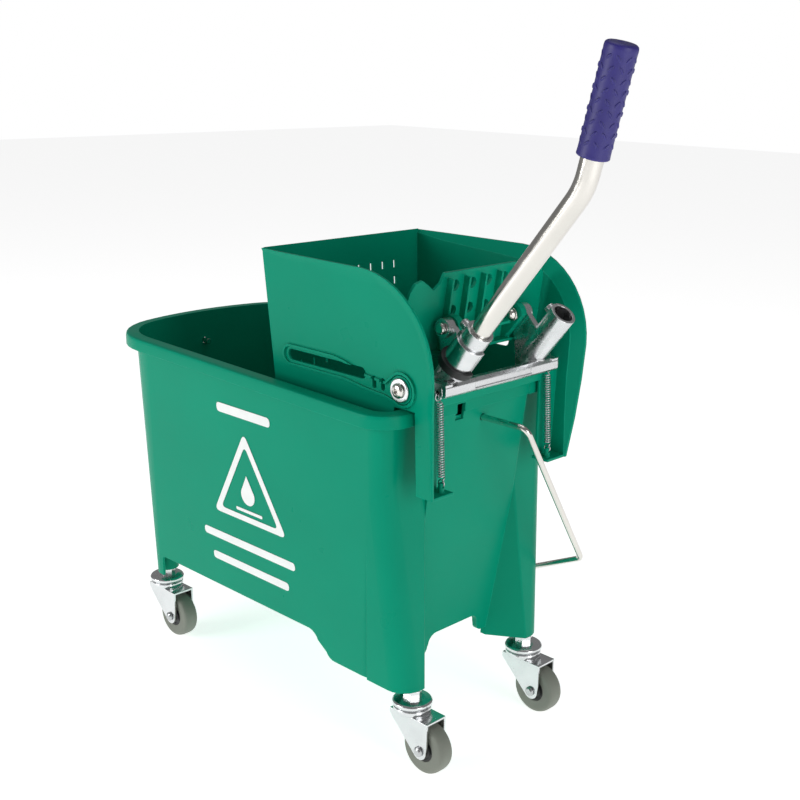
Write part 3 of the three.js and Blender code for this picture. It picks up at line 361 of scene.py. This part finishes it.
for name, (sx, sy) in SWIVELS.items():
    swivel = at(sx, sy, 0)
    hub_centre = at(sx + TRAIL, sy, WHEEL_RADIUS)
    across = (0, 1, 0)

    stem = bmesh.new()
    lathe(stem, soft_profile(STEM, 0.5), swivel, (0, 0, 1))
    lathe(stem, [(0, 68.9), (9.2, 68.9), (9.2, 77.6), (0, 77.6)], swivel, (0, 0, 1), 6)
    finished(f"caster_race_{name}", stem, SHEET, "bucket", (f"caster_stem_{name}",))

    refined(f"caster_fork_{name}", SHEET, f"caster_{name}")
    ball_rim = bmesh.new()
    lathe(ball_rim, soft_profile(DISH_RIM, 0.6), swivel, (0, 0, 1))
    finished(f"caster_dish_rim_{name}", ball_rim, SHEET, f"caster_{name}")

    axle = bmesh.new()
    head = [(0, -16.6), (3, -16.6), (5, -15), (5, -13.3), (3, -13.3), (3, 17.6), (0, 17.6)]
    lathe(axle, soft_profile(head, 0.5), hub_centre, across, 32)
    finished(f"axle_{name}", axle, STEEL, f"caster_{name}", (f"wheel_axle_{name}",))
    refined(f"axle_nut_{name}", STEEL, f"caster_{name}")

    tyre = bmesh.new()
    lathe(tyre, tyre_profile(), hub_centre, across, 72)
    finished(f"tyre_{name}", tyre, TYRE, f"wheel_{name}", (f"wheel_tyre_{name}",))
    hub = bmesh.new()
    lathe(hub, hub_profile(), hub_centre, across, 48)
    finished(f"hub_{name}", hub, HUB, f"wheel_{name}", (f"wheel_hub_{name}",))


# ---- Carry bail ----
def bail_route():
    hang = math.radians(BAIL_HANG)

    def spot(x, reach):
        return at(x, reach * math.cos(hang), BAIL_HEIGHT - reach * math.sin(hang))

    slope = (BAIL_REACH - BAIL_SHOULDER) / 0.62
    front, rear = 57.0, -455.0
    return [
        spot(-10, 0), spot(front, 0), spot(front, BAIL_SHOULDER), spot(front - slope, BAIL_REACH),
        spot(rear + slope, BAIL_REACH), spot(rear, BAIL_SHOULDER), spot(rear, 0), spot(-420, 0),
    ]


bail = bmesh.new()
sweep(bail, rounded_route(bail_route(), 0.009, 8), 0.003, 16)
finished("bail_wire", bail, TUBE, "bail", ("bail_handle",))


# ---- Fasteners of the lever ----
for name, side in SIDES.items():
    across = (0, side, 0)
    pivot = at(-3, 0, 374)
    bolt = bmesh.new()
    lathe(bolt, soft_profile([
        (0, 59.4), (5, 59.4), (5, 106.2), (7, 106.2), (6.8, 107.7), (5.2, 109.4), (2.6, 110),
        (2.6, 107.6), (0, 107.6),
    ], 0.5), pivot, across)
    finished(f"pivot_head_{name}", bolt, TUBE, "wringer", (f"pivot_bolt_{name}",))
    washer = bmesh.new()
    lathe(washer, soft_profile([
        (5.3, 104.3), (11, 104.3), (11, 105.3), (10.3, 105.9), (5.3, 105.9),
    ], 0.4), pivot, across)
    finished(f"washer_{name}", washer, SHEET, "wringer", (f"pivot_washer_{name}",))
    refined(f"pivot_nut_{name}", STEEL, "wringer")

    press = at(3, 0, 424)
    stud = bmesh.new()
    lathe(stud, soft_profile([
        (0, 35.4), (3, 35.4), (3, 58.7), (5.5, 58.7), (5.5, 61.2), (4, 62.7), (0, 62.7),
    ], 0.5), press, across, 32)
    finished(f"press_stud_{name}", stud, TUBE, "lever", (f"press_bolt_{name}",))
    dome = bmesh.new()
    lathe(dome, soft_profile([
        (0, 32.1), (2.6, 32.5), (4.6, 34.1), (5.4, 36.1), (7, 36.5), (7, 40.1), (3.3, 40.1),
        (3.3, 34.5), (0, 34.5),
    ], 0.6), press, across, 32)
    finished(f"dome_nut_{name}", dome, TUBE, "lever", (f"press_nut_{name}",))


# ---- Return springs ----
def spring_route(side):
    """A close coil with a round loop at each end, from the peg on the ledge up to the yoke's hook."""
    y = side * 76.4
    low, high = Vector((23.3, y, 293.0)), Vector((19.2, y, 362.0))
    points = []
    for k in range(20):
        a = math.radians(-60 + 330 * k / 19)
        points.append(at(23.5 + 3.4 * math.cos(a), y, 288.2 + 3.4 * math.sin(a)))
    turns, steps = 30, 14
    for k in range(turns * steps + 1):
        t = k / (turns * steps)
        a = 2 * math.pi * k / steps
        middle = low.lerp(high, t)
        points.append(at(middle.x + 3.0 * math.cos(a), y + 3.0 * math.sin(a), middle.z))
    for k in range(20):
        a = math.radians(-120 + 330 * k / 19)
        points.append(at(19, side * (78.4 + 3.6 * math.cos(a)), 367.8 + 3.6 * math.sin(a)))
    return points


for name, side in SIDES.items():
    coil = bmesh.new()
    sweep(coil, spring_route(side), 0.0006, 8)
    spring = finished(f"coil_{name}", coil, STEEL, None, (f"return_spring_{name}",), 60.0)
    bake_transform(spring)


# ---- Handle grip ----
GRIP_AXIS = Vector((math.cos(math.radians(GRIP_TILT)), 0, math.sin(math.radians(GRIP_TILT))))
GRIP_START = at(175.7, -58.4, 664.8) - GRIP_AXIS * 0.084


def add_bump(bm, centre, out, along, length, width, height):
    """A small raised dash on the grip: a flattened dome with round ends."""
    side = out.cross(along)
    rings = []
    for lift, shrink in ((-0.4, 1.0), (0.35, 0.95), (0.8, 0.7), (1.0, 0.3)):
        ring = []
        for k in range(12):
            a = 2 * math.pi * k / 12
            reach = along * math.cos(a) * length / 2 * shrink + side * math.sin(a) * width / 2 * shrink
            ring.append(bm.verts.new(centre + reach + out * height * lift))
        rings.append(ring)
    bridge(bm, rings, False)
    bm.faces.new(rings[-1])


grip = bmesh.new()
lathe(grip, soft_profile([
    (0, 84.3), (9.8, 84.3), (9.8, 0), (12, 0), (13.6, 1), (13.3, 4), (13.2, 10), (13.0, 44),
    (13.2, 78), (13.4, 84), (13.0, 86.5), (11, 88), (4, 88.2), (3.4, 87.6), (0, 87.5),
], 1.0), GRIP_START, GRIP_AXIS, 56)
around = Vector((0, 1, 0))
square = GRIP_AXIS.cross(around)
for row in range(BUMP_ROWS):
    for column in range(BUMPS_AROUND):
        a = 2 * math.pi * (column + 0.5 * (row % 2)) / BUMPS_AROUND
        out = around * math.cos(a) + square * math.sin(a)
        lean = GRIP_AXIS.cross(out) * (0.85 if column % 2 else -0.85) + GRIP_AXIS
        spot = GRIP_START + GRIP_AXIS * (0.012 + row * 0.0082) + out * 0.013
        add_bump(grip, spot, out, lean.normalized(), 0.0062, 0.0022, 0.0009)
finished("grip_sleeve", grip, GRIP, "lever", ("handle_grip",), 50.0)


# ---- Plain mark on the near long side ----
PRINT_LIFT = 0.12


def on_wall(x, z):
    """A point just off the near long wall."""
    wall = WALL_LOW + SIDE_TAPER * (z - LEG_BOTTOM) / BUCKET_HEIGHT
    return at(x, -wall - PRINT_LIFT, z)


def add_plate(bm, outline, hole=None):
    """A thin print: an outline of (x, z) points, with an optional hole that has as many points."""
    outer = [bm.verts.new(on_wall(x, z)) for x, z in outline]
    if hole is None:
        bm.faces.new(outer)
        return
    inner = [bm.verts.new(on_wall(x, z)) for x, z in hole]
    for i in range(len(outer)):
        j = (i + 1) % len(outer)
        bm.faces.new([outer[i], outer[j], inner[j], inner[i]])


def round_corners(corners, radius, steps=6):
    """A closed outline of (x, z) points with rounded corners."""
    points = []
    count = len(corners)
    for i in range(count):
        a, b, c = (Vector(corners[(i + k) % count]) for k in (-1, 0, 1))
        start = b + (a - b).normalized() * radius
        end = b + (c - b).normalized() * radius
        for k in range(steps + 1):
            t = k / steps
            spot = start * (1 - t) ** 2 + b * 2 * t * (1 - t) + end * t * t
            points.append((spot.x, spot.y))
    return points


def shrunk(outline, cx, cz, share):
    return [(cx + (x - cx) * share, cz + (z - cz) * share) for x, z in outline]


def capsule(x0, x1, z0, z1):
    r = (z1 - z0) * 0.48
    return round_corners([(x0, z0), (x1, z0), (x1, z1), (x0, z1)], r)


def drop(cx, cz, size):
    """A falling drop."""
    points = [(cx, cz + size * 1.35)]
    for k in range(17):
        a = math.radians(40 - 260 * k / 16)
        points.append((cx + size * 0.72 * math.cos(a), cz - size * 0.1 + size * 0.72 * math.sin(a)))
    return points


mark = bmesh.new()
triangle = round_corners([(-266, 193), (-150, 193), (-205, 292)], 9)
add_plate(mark, triangle, shrunk(triangle, -207, 224, 0.79))
add_plate(mark, drop(-207, 225, 15))
add_plate(mark, capsule(-228, -186, 203.5, 207))
add_plate(mark, capsule(-288, -140, 160, 169))
add_plate(mark, capsule(-276, -152, 134, 143))
add_plate(mark, capsule(-246, -162, 307, 317))
finished("side_mark", mark, WHITE, "bucket")


# ---- Floor, light and camera ----
def plain_floor():
    bpy.ops.mesh.primitive_plane_add(size=16, location=(0, 0, 0))
    floor = bpy.context.object
    floor.name = "floor"
    paint = bpy.data.materials.new("pale_floor")
    paint.use_nodes = True
    tree = paint.node_tree
    shader = tree.nodes["Principled BSDF"]
    shader.inputs["Base Color"].default_value = (1, 1, 1, 1)
    shader.inputs["Roughness"].default_value = 0.75
    shader.inputs["Emission Color"].default_value = (1, 1, 1, 1)
    shader.inputs["Emission Strength"].default_value = 0.7
    floor.data.materials.append(paint)


def area_light(name, place, aim, size, watts, colour=(1, 1, 1)):
    data = bpy.data.lights.new(name, "AREA")
    data.shape = "RECTANGLE"
    data.size, data.size_y = size
    data.energy = watts
    data.color = colour
    lamp = bpy.data.objects.new(name, data)
    lamp.location = place
    lamp.rotation_euler = (Vector(aim) - Vector(place)).to_track_quat("-Z", "Y").to_euler()
    bpy.context.collection.objects.link(lamp)


def studio():
    world = bpy.data.worlds.new("studio")
    bpy.context.scene.world = world
    world.use_nodes = True
    bpy.context.scene.view_settings.view_transform = "Standard"
    sky = world.node_tree.nodes["Background"]
    sky.inputs["Color"].default_value = (1, 1, 1, 1)
    # The sky is white to look at, and dimmer as a light.
    tree = world.node_tree
    seen = tree.nodes.new("ShaderNodeLightPath").outputs["Is Camera Ray"]
    link(tree, spread(tree, seen, 0.22, 1.0, 0.0, 1.0), sky.inputs["Strength"])
    area_light("key", (-1.2, -2.4, 1.0), (0, 0, 0.3), (1.4, 1.2), 30)
    area_light("fill", (2.6, -0.3, 0.9), (0, 0, 0.3), (1.2, 1.4), 20)
    area_light("top", (0.0, 0.3, 2.6), (0, 0, 0.2), (1.8, 1.2), 8)


def camera():
    azimuth, elevation, roll = (math.radians(a) for a in (44.44, 15.58, 0.957))
    back = Vector((
        math.cos(elevation) * math.sin(azimuth),
        -math.cos(elevation) * math.cos(azimuth),
        math.sin(elevation),
    ))
    right = Vector((math.cos(azimuth), math.sin(azimuth), 0))
    up = back.cross(right)
    turned_right = right * math.cos(roll) + up * math.sin(roll)
    turned_up = up * math.cos(roll) - right * math.sin(roll)
    data = bpy.data.cameras.new("camera")
    data.sensor_width = 36
    data.lens = 36 * 1231 / 800
    eye = bpy.data.objects.new("camera", data)
    basis = Matrix((turned_right, turned_up, back)).transposed().to_4x4()
    basis.translation = at(726, -847.3, 655.6)
    eye.matrix_world = basis
    bpy.context.collection.objects.link(eye)
    bpy.context.scene.camera = eye


plain_floor()
studio()
camera()
